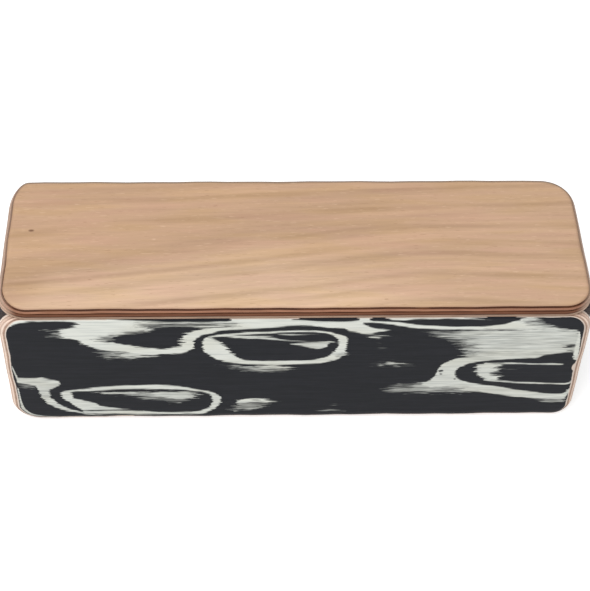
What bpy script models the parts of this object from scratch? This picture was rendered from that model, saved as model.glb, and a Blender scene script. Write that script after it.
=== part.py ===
"""Wooden box shaker.

Four veneered plywood panels are glued round two black end plates, and close a chamber
that holds loose steel pellets. Metres, +Z up. X runs along the length, Y from the front
to the rear, and the origin is the centre of the base.
"""
import math

import bmesh
import bpy

MM = 0.001

# Outside of the box
BODY_LENGTH = 200 * MM
BODY_DEPTH = 62.5 * MM
BODY_HEIGHT = 60 * MM

# Make-up of a panel: a face veneer on three plies, with a glue line under each layer but the last
VENEER_THICKNESS = 0.45 * MM
OUTER_PLY_THICKNESS = 0.75 * MM
CORE_PLY_THICKNESS = 0.95 * MM
INNER_PLY_THICKNESS = 1 * MM
GLUE_LINE = 0.3 * MM
LAYERS = (
    ("veneer", VENEER_THICKNESS),
    ("outer_ply", OUTER_PLY_THICKNESS),
    ("core_ply", CORE_PLY_THICKNESS),
    ("inner_ply", INNER_PLY_THICKNESS),
)

# Glued joints between panels and plates
JOINT_GAP = 0.3 * MM

# Rounded corners, in the plane of each panel
TOP_CORNER_RADIUS = 10 * MM
WALL_CORNER_RADIUS = 8.5 * MM
BASE_CORNER_RADIUS = 8 * MM
END_CORNER_RADIUS = 2 * MM

# Rounded arrises, where a panel's outer face turns into its edges
TOP_ARRIS = 2.5 * MM
WALL_END_ARRIS = 4 * MM
WALL_FOOT_ARRIS = 4 * MM
WALL_HEAD_ARRIS = 1 * MM
BASE_END_ARRIS = 2 * MM
BASE_SIDE_ARRIS = 0.4 * MM
END_PLATE_ARRIS = 0.5 * MM

# Plates that close the two ends
END_PLATE_THICKNESS = 8 * MM
END_RECESS = 0.5 * MM

# Loose fill. Golden-section steps spread the places where the pellets come to rest.
PELLET_COUNT = 40
PELLET_DIAMETER = 4 * MM
PELLET_CLEARANCE = 0.3 * MM
GOLDEN_SECTION = (math.sqrt(5) - 1) / 2

# Fineness of the rounded shapes
CORNER_SEGMENTS = 6
ARRIS_STEP = math.radians(15)
PELLET_SUBDIVISIONS = 2

# Sizes that follow from the ones above
PANEL_THICKNESS = sum(thickness for _, thickness in LAYERS) + (len(LAYERS) - 1) * GLUE_LINE
WALL_HEIGHT = BODY_HEIGHT - PANEL_THICKNESS - JOINT_GAP
INNER_DEPTH = BODY_DEPTH - 2 * PANEL_THICKNESS
INNER_HEIGHT = BODY_HEIGHT - 2 * PANEL_THICKNESS
INNER_LENGTH = BODY_LENGTH - 2 * (END_RECESS + END_PLATE_THICKNESS)


def clear_scene():
    for old in list(bpy.data.objects):
        bpy.data.objects.remove(old, do_unlink=True)


def linear(level):
    """Linear light of an sRGB level from 0 to 255."""
    share = level / 255
    if share <= 0.04045:
        return share / 12.92
    return ((share + 0.055) / 1.055) ** 2.4


def make_material(name, red, green, blue, roughness, metallic=0.0):
    material = bpy.data.materials.new(name)
    material.use_nodes = True
    shader = material.node_tree.nodes["Principled BSDF"]
    shader.inputs["Base Color"].default_value = (linear(red), linear(green), linear(blue), 1)
    shader.inputs["Roughness"].default_value = roughness
    shader.inputs["Metallic"].default_value = metallic
    return material


def make_empty(name, location, rotation=(0, 0, 0)):
    empty = bpy.data.objects.new(name, None)
    empty.empty_display_size = 10 * MM
    empty.location = location
    empty.rotation_euler = rotation
    bpy.context.scene.collection.objects.link(empty)
    return empty


def add_object(name, mesh, parent, location):
    item = bpy.data.objects.new(name, mesh)
    item.parent = parent
    item.location = location
    bpy.context.scene.collection.objects.link(item)
    return item


def arris_inset(depth, radius):
    """How far a rounded arris has drawn an edge in, at a depth under the face."""
    rise = max(radius - depth, 0)
    return radius - math.sqrt(radius ** 2 - rise ** 2)


def ring_depths(start, stop, radius):
    """Depths of the outlines that follow an arris from one face of a layer to the other."""
    first = math.acos(1 - min(start / radius, 1))
    last = math.acos(1 - min(stop / radius, 1))
    steps = max(1, math.ceil((last - first) / ARRIS_STEP))
    inner = [first + (last - first) * step / steps for step in range(1, steps)]
    return [start] + [radius * (1 - math.cos(angle)) for angle in inner] + [stop]


class Blank:
    """Outline of a panel: a rounded rectangle with an arris radius on each side.

    length lies along the panel's own X and width along its Y. end, low and high are the
    arris radii of its two ends, of its -Y side and of its +Y side.
    """

    def __init__(self, length, width, corner, end, low, high):
        self.length = length
        self.width = width
        self.corner = corner
        self.end = end
        self.low = low
        self.high = high

    def ring(self, depth):
        """Points of the outline at a depth, anticlockwise from above the outer face."""
        points = []
        for quarter in range(4):
            side_x = 1 if quarter in (0, 3) else -1
            side_y = 1 if quarter in (0, 1) else -1
            side_arris = self.high if side_y > 0 else self.low
            reach_x = self.corner - arris_inset(depth, self.end)
            reach_y = self.corner - arris_inset(depth, side_arris)
            centre_x = side_x * (self.length / 2 - self.corner)
            centre_y = side_y * (self.width / 2 - self.corner)
            for step in range(CORNER_SEGMENTS + 1):
                angle = math.pi / 2 * (quarter + step / CORNER_SEGMENTS)
                points.append((centre_x + reach_x * math.cos(angle),
                               centre_y + reach_y * math.sin(angle)))
        return points

    def layer(self, name, start, stop, material):
        """Solid between two depths, with its own origin on its outer side."""
        shape = bmesh.new()
        rings = []
        for depth in ring_depths(start, stop, max(self.end, self.low, self.high)):
            level = start - depth
            rings.append([shape.verts.new((x, y, level)) for x, y in self.ring(depth)])
        count = len(rings[0])
        for upper, lower in zip(rings, rings[1:]):
            for here in range(count):
                there = (here + 1) % count
                shape.faces.new((upper[here], lower[here], lower[there], upper[there]))
        shape.faces.new(rings[0])
        shape.faces.new(list(reversed(rings[-1])))
        mesh = bpy.data.meshes.new(name)
        shape.to_mesh(mesh)
        shape.free()
        mesh.materials.append(material)
        mesh.shade_smooth()
        mesh.set_sharp_from_angle(angle=math.radians(30))
        return mesh


def make_panel(name, blank, location, rotation, veneer, plies):
    """Panel of a veneer and three plies, hung on an empty at the middle of its outer face."""
    holder = make_empty(name + "_panel", location, rotation)
    materials = (veneer,) + plies
    start = 0
    for (layer_name, thickness), material in zip(LAYERS, materials):
        node = name + "_" + layer_name
        mesh = blank.layer(node, start, start + thickness, material)
        add_object(node, mesh, holder, (0, 0, -start))
        start += thickness + GLUE_LINE


def make_panels():
    pale_veneer = make_material("pale_veneer", 210, 175, 148, 0.5)
    marbled_veneer = make_material("marbled_veneer", 60, 60, 64, 0.45)
    plies = (
        make_material("outer_ply", 158, 118, 97, 0.6),
        make_material("core_ply", 122, 84, 63, 0.65),
        make_material("inner_ply", 176, 150, 133, 0.6),
    )
    upright = math.pi / 2
    half_turn = math.pi

    top = Blank(BODY_LENGTH, BODY_DEPTH, TOP_CORNER_RADIUS, TOP_ARRIS, TOP_ARRIS, TOP_ARRIS)
    make_panel("top", top, (0, 0, BODY_HEIGHT), (0, 0, 0), pale_veneer, plies)

    wall = Blank(BODY_LENGTH, WALL_HEIGHT, WALL_CORNER_RADIUS,
                 WALL_END_ARRIS, WALL_FOOT_ARRIS, WALL_HEAD_ARRIS)
    front_centre = (0, -BODY_DEPTH / 2, WALL_HEIGHT / 2)
    rear_centre = (0, BODY_DEPTH / 2, WALL_HEIGHT / 2)
    make_panel("front", wall, front_centre, (upright, 0, 0), marbled_veneer, plies)
    make_panel("rear", wall, rear_centre, (upright, 0, half_turn), marbled_veneer, plies)

    base = Blank(BODY_LENGTH, INNER_DEPTH - 2 * JOINT_GAP, BASE_CORNER_RADIUS,
                 BASE_END_ARRIS, BASE_SIDE_ARRIS, BASE_SIDE_ARRIS)
    make_panel("base", base, (0, 0, 0), (half_turn, 0, 0), pale_veneer, plies)


def make_end_plates():
    black_board = make_material("black_board", 52, 50, 53, 0.6)
    plate = Blank(INNER_HEIGHT - 2 * JOINT_GAP, INNER_DEPTH - 2 * JOINT_GAP, END_CORNER_RADIUS,
                  END_PLATE_ARRIS, END_PLATE_ARRIS, END_PLATE_ARRIS)
    for name, side in (("left", -1), ("right", 1)):
        node = name + "_end_plate"
        outer_face = (side * (BODY_LENGTH / 2 - END_RECESS), 0, BODY_HEIGHT / 2)
        holder = make_empty(name + "_end", outer_face, (0, side * math.pi / 2, 0))
        mesh = plate.layer(node, 0, END_PLATE_THICKNESS, black_board)
        add_object(node, mesh, holder, (0, 0, 0))


def make_pellet_mesh():
    steel = make_material("steel", 190, 190, 192, 0.25, metallic=1.0)
    shape = bmesh.new()
    bmesh.ops.create_icosphere(shape, subdivisions=PELLET_SUBDIVISIONS, radius=PELLET_DIAMETER / 2)
    mesh = bpy.data.meshes.new("pellet")
    shape.to_mesh(mesh)
    shape.free()
    mesh.materials.append(steel)
    mesh.shade_smooth()
    return mesh


def make_pellets():
    """Pellets at rest on the chamber floor, each in a lane of its own across the box."""
    mesh = make_pellet_mesh()
    free_length = INNER_LENGTH - PELLET_DIAMETER - 2 * PELLET_CLEARANCE
    free_depth = INNER_DEPTH - PELLET_DIAMETER - 2 * PELLET_CLEARANCE
    rest_height = PANEL_THICKNESS + PELLET_CLEARANCE + PELLET_DIAMETER / 2
    fill = make_empty("fill", (0, 0, rest_height))
    for lane in range(PELLET_COUNT):
        lane_x = free_length * (lane / (PELLET_COUNT - 1) - 0.5)
        rest_y = free_depth * (lane * GOLDEN_SECTION % 1 - 0.5)
        add_object("pellet_%02d" % (lane + 1), mesh, fill, (lane_x, rest_y, 0))


clear_scene()
make_panels()
make_end_plates()
make_pellets()
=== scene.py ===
"""Looks of the wooden box shaker: panels in fine lofts, glue films, end boards and shot.

Metres, in the frame's own axes: X runs along the box, Y from the front to the rear, Z is up.
"""
import math

import bmesh
import bpy
from mathutils import Matrix, Vector


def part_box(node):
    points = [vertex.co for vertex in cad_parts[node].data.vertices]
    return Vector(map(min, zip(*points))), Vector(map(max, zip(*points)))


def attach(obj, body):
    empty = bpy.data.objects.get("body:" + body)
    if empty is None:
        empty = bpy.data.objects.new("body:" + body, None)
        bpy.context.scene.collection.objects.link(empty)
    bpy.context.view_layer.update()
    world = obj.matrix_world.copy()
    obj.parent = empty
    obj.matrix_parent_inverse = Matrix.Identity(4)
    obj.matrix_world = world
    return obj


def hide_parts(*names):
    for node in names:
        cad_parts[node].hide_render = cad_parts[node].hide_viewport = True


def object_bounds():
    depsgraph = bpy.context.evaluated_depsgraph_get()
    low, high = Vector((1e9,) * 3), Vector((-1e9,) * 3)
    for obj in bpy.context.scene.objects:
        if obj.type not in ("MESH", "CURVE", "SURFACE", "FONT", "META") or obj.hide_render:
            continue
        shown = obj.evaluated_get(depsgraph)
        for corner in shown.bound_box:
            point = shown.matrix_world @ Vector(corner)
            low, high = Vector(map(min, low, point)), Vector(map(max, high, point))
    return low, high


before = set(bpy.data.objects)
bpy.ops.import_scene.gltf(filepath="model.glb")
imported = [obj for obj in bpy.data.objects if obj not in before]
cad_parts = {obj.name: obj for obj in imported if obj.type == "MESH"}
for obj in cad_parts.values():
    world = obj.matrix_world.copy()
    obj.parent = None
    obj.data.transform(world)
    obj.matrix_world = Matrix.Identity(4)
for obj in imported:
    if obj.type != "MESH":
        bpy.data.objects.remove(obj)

CAD_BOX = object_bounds()
BODY = "box"
MM = 0.001

# Camera, as the photograph has it, with the image and the focal length in pixels
IMAGE_HEIGHT = 591
FOCAL_LENGTH = 1523
SENSOR = 36
NEAR_CLIP = 10 * MM
CAMERA_DISTANCE = 545.84 * MM
CAMERA_LIFT = math.radians(48.436)
CAMERA_YAW = math.radians(2.89)
CAMERA_ROLL = math.radians(1.809)
AIM_RIGHT = -0.592 * MM
AIM_UP = -1.246 * MM

# Studio: a pale floor, an even sky and one broad lamp
FLOOR_SIZE = 6.0
FLOOR_GAP = 0.2 * MM
FLOOR_SHADE = 0.8
FLOOR_GLOW = 0.5
SKY_LEVEL = 0.55
KEY_PLACE = (-0.35, -0.6, 1.1)
KEY_TARGET = (0, 0, 0.03)
KEY_SIZE = 0.9
KEY_POWER = 11

# Layers of a panel from its face inwards
LAYERS = ("veneer", "outer_ply", "core_ply", "inner_ply")

# Rounded corners of the panels in their own planes, from the +X +Y corner anticlockwise
TOP_CORNERS = (11.6 * MM, 6.1 * MM, 10.8 * MM, 10.8 * MM)
FRONT_CORNERS = (8.5 * MM, 8.5 * MM, 9.3 * MM, 8 * MM)
REAR_CORNERS = (8.6 * MM, 8.2 * MM, 8.4 * MM, 8.9 * MM)
BASE_CORNERS = (8.2 * MM, 7.8 * MM, 8 * MM, 8.1 * MM)
BOARD_CORNERS = (2 * MM,) * 4

# How much further a corner reaches across its panel than along it
ROUND = (1,) * 4
TOP_STRETCH = (1.12, 2.1, 1, 1)

# Rounded arrises, where an outer face turns into the edges, at the +X, +Y, -X and -Y side of that plane
TOP_ARRISES = (2.9 * MM, 3.1 * MM, 3.5 * MM, 2.5 * MM)
WALL_ARRISES = (4 * MM, 1 * MM, 4 * MM, 4 * MM)
BASE_ARRISES = (2 * MM, 0.4 * MM, 2 * MM, 0.4 * MM)
BOARD_ARRISES = (0.5 * MM,) * 4

# Unevenness of hand sanding: share of the arris radius, and waves in a turn round the panel
SANDING_SHARE = 0.05
SANDING_WAVES = (11, 27)

# Glue films: how far they soak into the plies, stand back from the edges and waver there
FILM_SOAK = 0.08 * MM
FILM_SLACK = 0.02 * MM
FILM_RECESS = 0.02 * MM
FILM_WAVER = 0.008 * MM

# Glue in the joints between panels and boards
JOINT_MARGIN = 0.6 * MM
JOINT_CORNERS = (1.2 * MM,) * 4
JOINT_ARRISES = (0.05 * MM,) * 4
JOINT_RECESS = 0.4 * MM
JOINT_WAVER = 0.2 * MM

# Balls of shot: share of the radius at which a flat is left, and rounds of subdivision
SHOT_FLAT = 0.96
SHOT_FINENESS = 4

# Fineness of the lofts
CORNER_SEGMENTS = 18
RUN_STEP = 6 * MM
ARRIS_STEP = math.radians(7.5)
FLAT_MARGIN = 0.6 * MM
SHARP_ANGLE = math.radians(30)

# Bands of the pale veneer, in mm: they rise to an apex along the panel, and flatten towards the rear
ARCH_APEX = 45
ARCH_ROUNDING = 12
ARCH_SLOPE = 0.15
ARCH_REAR_SHARE = 0.1
ARCH_FADE = (-14, 20)
ARCH_TILT = 0.045
ARCH_FLATTENING = 250

# Rings of late wood across those bands: place and strength, and how they fade, end and sway
RINGS = ((-27.4, 0.6), (-20.3, 0.5), (-15.3, 1), (-6, 1), (-1, 0.9), (5.8, 0.6),
         (14.9, 1), (24.1, 0.9), (30, 0.6), (36, 0.6))
RING_RANGE = (-36, 46)
RING_FADE = 2.4
RING_EDGE = 1.2
RING_SWAY = 2.0

# Painted light on the pale veneer, in mm: lighter near the front edge, where the light falls, and darker
# to the rear.
# The darker rear part wavers, comes forward away from a middle and at both ends, and evens out towards the
# right
LIT_EDGE_RANGE = (-9, 13)
LIT_EDGE_WAVE = 12
LIT_EDGE_MIDDLE = -12
LIT_EDGE_SPREAD = 0.2
LIT_EDGE_ENDS = (78, 98)
LIT_EDGE_END_REACH = 12
EVEN_RANGE = (-40, 80)
EVEN_LEVEL = 5
EVEN_SHARE = 0.95

# Knots in the pale veneer, in mm: place, and reach each way
KNOTS = (((-90.7, 5.7), (1.4, 0.8)),)

# How a figure lies on its panel: height, rise and shift in mm, the others in mm of figure per mm of panel
FIGURE_HEIGHT = 60
FIGURE_STRETCH = 1.0366
FIGURE_TILT = 0.0036
FIGURE_RISE = -0.71
FIGURE_SPREAD = 1.0035
FIGURE_SHIFT = -0.1

# How the edges of a figure's streaks are drawn
EDGE_WAVE = 0.8
EDGE_SOFTNESS = 0.78
EDGE_OUTSIDE = 0.3
FRAY_SOFTNESS = 0.39
FRAY_REACH = 8.0
FRAY_FUZZ = 2.0
COMB_STRENGTH = 6.0
DYE_POWER = 2.0

# Stretches of the front panel's head and foot, in mm along it, where the dye has run over the edge
DYED_HEAD = ((-64, -22), (0, 20.5), (24.5, 30), (63, 74))
DYED_FOOT = ((-58, 97),)
DYE_FADE = 1

# Where the face of the marbled veneer is worn through at its edges, in shares of its thickness
WEAR_RANGE = (0.32, 0.46)
WEAR_RAGGEDNESS = 0.4

# Chips out of the marbled veneer, in mm: place along the panel and height, and reach each way
CHIPS = (((97.2, 28.7), (1.3, 2.4)),)


def linear(level):
    """Linear light of an sRGB level from 0 to 255."""
    share = level / 255
    if share <= 0.04045:
        return share / 12.92
    return ((share + 0.055) / 1.055) ** 2.4


def colour(red, green, blue):
    """Colour from sRGB levels."""
    return (linear(red), linear(green), linear(blue), 1)


# Pale veneer
# Painted light: the pale wood is lighter near the front edge, where the light falls, and darker to the
# rear
LIT_FRONT_WOOD = colour(211, 178, 149)
UNLIT_REAR_WOOD = colour(193, 158, 129)
PALE_FLECK = colour(230, 198, 168)
DARK_PORE = colour(150, 108, 82)
KNOT_WOOD = colour(104, 72, 52)
# Painted shade on the rounded arrises of the pale veneer
ARRIS_SHADE_WOOD = colour(142, 104, 80)
# Painted shade on the faces of the pale veneer that turn to the rear
REAR_FACING_SHADE = colour(130, 112, 94)

# Marbled veneer
WHITE = colour(223, 225, 217)
GREY_WHITE = colour(191, 195, 190)
WARM_WHITE = colour(209, 208, 193)
BLACK = colour(17, 19, 24)
PALER_BLACK = colour(24, 25, 31)
BARE_VENEER = colour(216, 200, 187)

# End boards and shot
BOARD_DARK = colour(56, 52, 55)
BOARD_FIBRE = colour(84, 78, 80)
BOARD_SPECK = colour(112, 104, 100)
STEEL = colour(150, 150, 154)
BRIGHT_STEEL = colour(200, 200, 202)

# Edges of the plies: along the panel, and at its ends
PLIES = {
    "outer_ply": (colour(150, 108, 86), colour(186, 160, 144)),
    "core_ply": (colour(112, 72, 52), colour(196, 164, 144)),
    "inner_ply": (colour(158, 132, 114), colour(204, 178, 160)),
}
WALL_PLIES = {
    "outer_ply": (colour(214, 188, 172), colour(240, 220, 206)),
    "core_ply": (colour(190, 160, 142), colour(226, 200, 184)),
    "inner_ply": (colour(214, 190, 174), colour(244, 228, 216)),
}

# Glues: dark patches, light patches, and at the ends of a panel
GLUES = {
    "dark_ply_glue": (colour(64, 32, 16), colour(100, 60, 36), colour(170, 143, 123)),
    "pale_ply_glue": (colour(140, 108, 90), colour(172, 140, 120), colour(204, 176, 158)),
    # Glue in the joints between the panels, darkened with painted shade for the shade line in those joints
    "panel_glue_and_shade": (colour(84, 64, 50), colour(110, 88, 70), colour(118, 96, 78)),
    "board_glue": (colour(62, 55, 55), colour(84, 75, 73), colour(84, 75, 73)),
}


class Paint:
    """Short way to write a material: each call adds a node and gives back its output."""

    def __init__(self, name, roughness, specular=0.5, metallic=0.0):
        self.material = bpy.data.materials.new(name)
        self.material.use_nodes = True
        self.tree = self.material.node_tree
        self.shader = self.tree.nodes["Principled BSDF"]
        self.shader.inputs["Roughness"].default_value = roughness
        self.shader.inputs["Specular IOR Level"].default_value = specular
        self.shader.inputs["Metallic"].default_value = metallic
        place = self.tree.nodes.new("ShaderNodeTexCoord").outputs["Object"]
        self.place = self.vector("SCALE", place, scale=1 / MM)
        self.x, self.y, self.z = self.split(self.place)

    def feed(self, socket, value):
        if isinstance(value, bpy.types.NodeSocket):
            self.tree.links.new(value, socket)
        else:
            socket.default_value = value

    def math(self, operation, *values, clamp=False):
        node = self.tree.nodes.new("ShaderNodeMath")
        node.operation = operation
        node.use_clamp = clamp
        for socket, value in zip(node.inputs, values):
            self.feed(socket, value)
        return node.outputs[0]

    def vector(self, operation, *values, scale=None):
        node = self.tree.nodes.new("ShaderNodeVectorMath")
        node.operation = operation
        for socket, value in zip(node.inputs, values):
            self.feed(socket, value)
        if scale is not None:
            self.feed(node.inputs["Scale"], scale)
        return node.outputs[0]

    def split(self, vector):
        node = self.tree.nodes.new("ShaderNodeSeparateXYZ")
        self.feed(node.inputs[0], vector)
        return node.outputs

    def join(self, x, y, z):
        node = self.tree.nodes.new("ShaderNodeCombineXYZ")
        for socket, value in zip(node.inputs, (x, y, z)):
            self.feed(socket, value)
        return node.outputs[0]

    def facing(self):
        """The surface's own direction, in X, Y and Z."""
        node = self.tree.nodes.new("ShaderNodeNewGeometry")
        return self.split(node.outputs["Normal"])

    def endward(self):
        """How far the surface turns to either end of the box, from 0 to 1."""
        return self.math("ABSOLUTE", self.facing()[0])

    def noise(self, place, lengths, detail=2.0, roughness=0.5):
        """Noise with features about as long as lengths, along X, Y and Z of a place in mm."""
        scaled = self.vector("DIVIDE", place, lengths)
        node = self.tree.nodes.new("ShaderNodeTexNoise")
        self.feed(node.inputs["Vector"], scaled)
        node.inputs["Scale"].default_value = 1
        node.inputs["Detail"].default_value = detail
        node.inputs["Roughness"].default_value = roughness
        return node.outputs["Fac"]

    def grain(self, lengths, detail=2.0, roughness=0.5, shift=0.0):
        """Noise at the surface's own place, moved by a shift."""
        moved = self.vector("ADD", self.place, (shift, shift, shift))
        return self.noise(moved, lengths, detail, roughness)

    def swing(self, noise):
        """Noise brought down to lie about 0."""
        return self.math("SUBTRACT", noise, 0.5)

    def step(self, value, low, high, start=0.0, stop=1.0):
        """start below low, stop above high, and a smooth rise between them."""
        node = self.tree.nodes.new("ShaderNodeMapRange")
        node.interpolation_type = "SMOOTHSTEP"
        for socket, given in zip(node.inputs, (value, low, high, start, stop)):
            self.feed(socket, given)
        return node.outputs[0]

    def between(self, kind, share, first, second):
        node = self.tree.nodes.new("ShaderNodeMix")
        node.data_type = kind
        for socket, value in (("Factor", share), ("A", first), ("B", second)):
            self.feed(node.inputs[socket], value)
        return node.outputs["Result"]

    def mix(self, share, first, second):
        """Mix of two colours."""
        return self.between("RGBA", share, first, second)

    def blend(self, share, first, second):
        """Mix of two numbers."""
        return self.between("FLOAT", share, first, second)

    def apart(self, value, place):
        """Distance of a value from a place, either way."""
        return self.math("ABSOLUTE", self.math("SUBTRACT", value, place))

    def away(self, first, second, place, reach):
        """Distance of two coordinates from a place, as a share of a reach each way."""
        along = self.math("DIVIDE", self.math("SUBTRACT", first, place[0]), reach[0])
        across = self.math("DIVIDE", self.math("SUBTRACT", second, place[1]), reach[1])
        squares = self.math("MULTIPLY_ADD", along, along, self.math("MULTIPLY", across, across))
        return self.math("SQRT", squares)

    def curve(self, value, points):
        """Smooth curve through points that run from 0 to 1 both ways."""
        node = self.tree.nodes.new("ShaderNodeFloatCurve")
        self.feed(node.inputs["Value"], value)
        line = node.mapping.curves[0]
        while len(line.points) < len(points):
            line.points.new(0.5, 0.5)
        for point, place in zip(line.points, points):
            point.location = place
            point.handle_type = "AUTO_CLAMPED"
        node.mapping.update()
        return node.outputs[0]

    def bump(self, height, strength, distance):
        node = self.tree.nodes.new("ShaderNodeBump")
        node.inputs["Strength"].default_value = strength
        node.inputs["Distance"].default_value = distance
        self.feed(node.inputs["Height"], height)
        self.feed(self.shader.inputs["Normal"], node.outputs[0])

    def finish(self, base, roughness=None):
        self.feed(self.shader.inputs["Base Color"], base)
        if roughness is not None:
            self.feed(self.shader.inputs["Roughness"], roughness)
        return self.material


def arched_bands(paint):
    """Place across the bands of the pale veneer, which arch along the panel."""
    span = paint.math("SUBTRACT", paint.x, ARCH_APEX)
    rounded = paint.math("SQRT", paint.math("MULTIPLY_ADD", span, span, ARCH_ROUNDING ** 2))
    eased = paint.math("DIVIDE", rounded, paint.math("MULTIPLY_ADD", rounded, 1 / ARCH_FLATTENING, 1.0))
    slope = paint.step(paint.y, *ARCH_FADE, ARCH_SLOPE, ARCH_REAR_SHARE * ARCH_SLOPE)
    level = paint.math("ADD", paint.y, paint.math("MULTIPLY", eased, slope))
    return paint.math("MULTIPLY_ADD", paint.x, -ARCH_TILT, level)


def pale_ground(paint):
    """Pale wood with painted light: lighter near the front edge and darker to the rear, with yellow and
    pink stretches.
    """
    wave = paint.grain((80, 26, 26), 1)
    tint = paint.grain((26, 4, 4), 1, shift=31)
    aside = paint.apart(paint.x, LIT_EDGE_MIDDLE)
    wavering = paint.math("MULTIPLY_ADD", wave, LIT_EDGE_WAVE, paint.y)
    inward = paint.math("MULTIPLY_ADD", aside, LIT_EDGE_SPREAD, wavering)
    at_ends = paint.step(paint.math("ABSOLUTE", paint.x), *LIT_EDGE_ENDS, 0, LIT_EDGE_END_REACH)
    inward = paint.math("ADD", inward, at_ends)
    evened = paint.step(paint.x, *EVEN_RANGE, 0, EVEN_SHARE)
    inward = paint.math("MULTIPLY_ADD", paint.math("SUBTRACT", EVEN_LEVEL, inward), evened, inward)
    # painted light: lighter towards the front edge, darker to the rear
    ground = paint.mix(paint.step(inward, *LIT_EDGE_RANGE), LIT_FRONT_WOOD, UNLIT_REAR_WOOD)
    yellow = paint.vector("MULTIPLY", ground, (0.98, 0.98, 0.84))
    pink = paint.vector("MULTIPLY", ground, (1.0, 0.95, 1.01))
    yellowed = paint.mix(paint.step(tint, 0.3, 0.55, 0.5, 0), ground, yellow)
    return paint.mix(paint.step(tint, 0.5, 0.7, 0, 0.55), yellowed, pink)


def late_wood(paint, bands, arched):
    """How much late wood shows: rings with one soft and one firm edge, in patches."""
    sway = paint.swing(paint.noise(arched, (40, 9, 9), 1))
    patch = paint.noise(arched, (26, 4, 4), 1)
    swayed = paint.math("MULTIPLY_ADD", sway, RING_SWAY, bands)
    lowest, highest = RING_RANGE
    spread = highest - lowest
    stops = []
    for place, strength in RINGS:
        stops += [(place - RING_FADE, 0), (place, strength), (place + RING_EDGE, 0)]
    where = paint.math("MULTIPLY_ADD", swayed, 1 / spread, -lowest / spread)
    late = paint.curve(where, [((place - lowest) / spread, strength) for place, strength in stops])
    return paint.math("MULTIPLY", late, paint.step(patch, 0.3, 0.65, 0.17, 0.55))


def pale_veneer():
    """Pale close-grained veneer: soft bands that arch along the panel, straight fibres, short pores."""
    paint = Paint("pale_veneer", roughness=0.55, specular=0.2)
    bands = arched_bands(paint)
    arched = paint.join(paint.x, bands, paint.z)
    broad = paint.noise(arched, (80, 7, 7), 1)
    band = paint.noise(arched, (50, 2, 2), 2)
    thread = paint.grain((24, 0.9, 0.9), 2)
    fibre = paint.grain((9, 0.35, 0.35), 2, shift=9)
    pore = paint.grain((3, 0.3, 0.3), 0, shift=14)
    shade = 1.0
    for noise, strength in ((broad, 0.35), (band, 0.25), (thread, 0.16), (fibre, 0.18)):
        shade = paint.math("MULTIPLY_ADD", paint.swing(noise), strength, shade)
    shaded = paint.vector("SCALE", pale_ground(paint), scale=shade)
    ring_wood = paint.vector("MULTIPLY", shaded, (0.72, 0.69, 0.63))
    ringed = paint.mix(late_wood(paint, bands, arched), shaded, ring_wood)
    flecked = paint.mix(paint.step(pore, 0.2, 0.27, 0.35, 0), ringed, PALE_FLECK)
    pored = paint.mix(paint.step(pore, 0.76, 0.83, 0, 0.4), flecked, DARK_PORE)
    for place, reach in KNOTS:
        knot = paint.step(paint.away(paint.x, paint.y, place, reach), 0.3, 1, 0.8, 0)
        pored = paint.mix(knot, pored, KNOT_WOOD)
    _, rearward, upward = paint.facing()
    level = paint.math("ABSOLUTE", upward)
    # painted shade: darker where the face turns down into its rounded arrises
    arris_shaded = paint.mix(paint.step(level, 0.86, 0.985, 0.6, 0), pored, ARRIS_SHADE_WOOD)
    # painted shade: darker where the surface turns to the rear
    rear_shaded = paint.mix(paint.step(rearward, 0.02, 0.35, 0, 0.7), arris_shaded, REAR_FACING_SHADE)
    paint.bump(fibre, 0.2, 0.03 * MM)
    return paint.finish(rear_shaded, paint.step(fibre, 0.2, 0.8, 0.5, 0.62))


def ply_edge(name, along_edge, across_end):
    """Cut edge of a ply: fibres run along the long edges, and pores show at the ends."""
    paint = Paint(name, roughness=0.62, specular=0.15)
    ground = paint.mix(paint.step(paint.endward(), 0.3, 0.85), along_edge, across_end)
    fibre = paint.grain((7, 0.3, 0.3), 3)
    blotch = paint.grain((16, 3, 3), 1, shift=12)
    pore = paint.grain((0.5, 0.5, 0.5), 1, shift=5)
    dark = paint.vector("MULTIPLY", ground, (0.6, 0.52, 0.48))
    light = paint.vector("MULTIPLY", ground, (1.15, 1.13, 1.1))
    shaded = paint.mix(paint.step(blotch, 0.3, 0.7), ground, light)
    fibred = paint.mix(paint.step(fibre, 0.45, 0.75, 0, 0.7), shaded, dark)
    pored = paint.mix(paint.step(pore, 0.6, 0.75, 0, 0.3), fibred, dark)
    paint.bump(fibre, 0.3, 0.05 * MM)
    return paint.finish(pored)


def glue(name, dark, light, at_ends):
    """Cured glue, in patches of two shades, and of another shade at the ends of a panel."""
    paint = Paint(name, roughness=0.55, specular=0.15)
    patch = paint.grain((9, 1.2, 1.2), 2)
    base = paint.mix(paint.step(patch, 0.4, 0.75), dark, light)
    ended = paint.mix(paint.step(paint.endward(), 0.3, 0.8), base, at_ends)
    paint.bump(patch, 0.2, 0.05 * MM)
    return paint.finish(ended)


def black_board():
    """Dyed fibre board, with paler fibres in it."""
    paint = Paint("black_board", roughness=0.75, specular=0.25)
    fibre = paint.grain((0.3, 1.6, 0.25), 3)
    speck = paint.grain((0.4, 0.5, 0.5), 1, shift=8)
    ground = paint.mix(paint.step(fibre, 0.35, 0.7), BOARD_DARK, BOARD_FIBRE)
    specked = paint.mix(paint.step(speck, 0.68, 0.8, 0, 0.6), ground, BOARD_SPECK)
    paint.bump(fibre, 0.35, 0.06 * MM)
    return paint.finish(specked)


def shot_steel():
    """Steel, scuffed in patches."""
    paint = Paint("shot_steel", roughness=0.3, metallic=1.0)
    scuff = paint.grain((0.5, 0.5, 0.5), 3)
    base = paint.mix(paint.step(scuff, 0.4, 0.7), STEEL, BRIGHT_STEEL)
    paint.bump(scuff, 0.15, 0.03 * MM)
    return paint.finish(base, paint.step(scuff, 0.3, 0.7, 0.22, 0.42))


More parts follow.
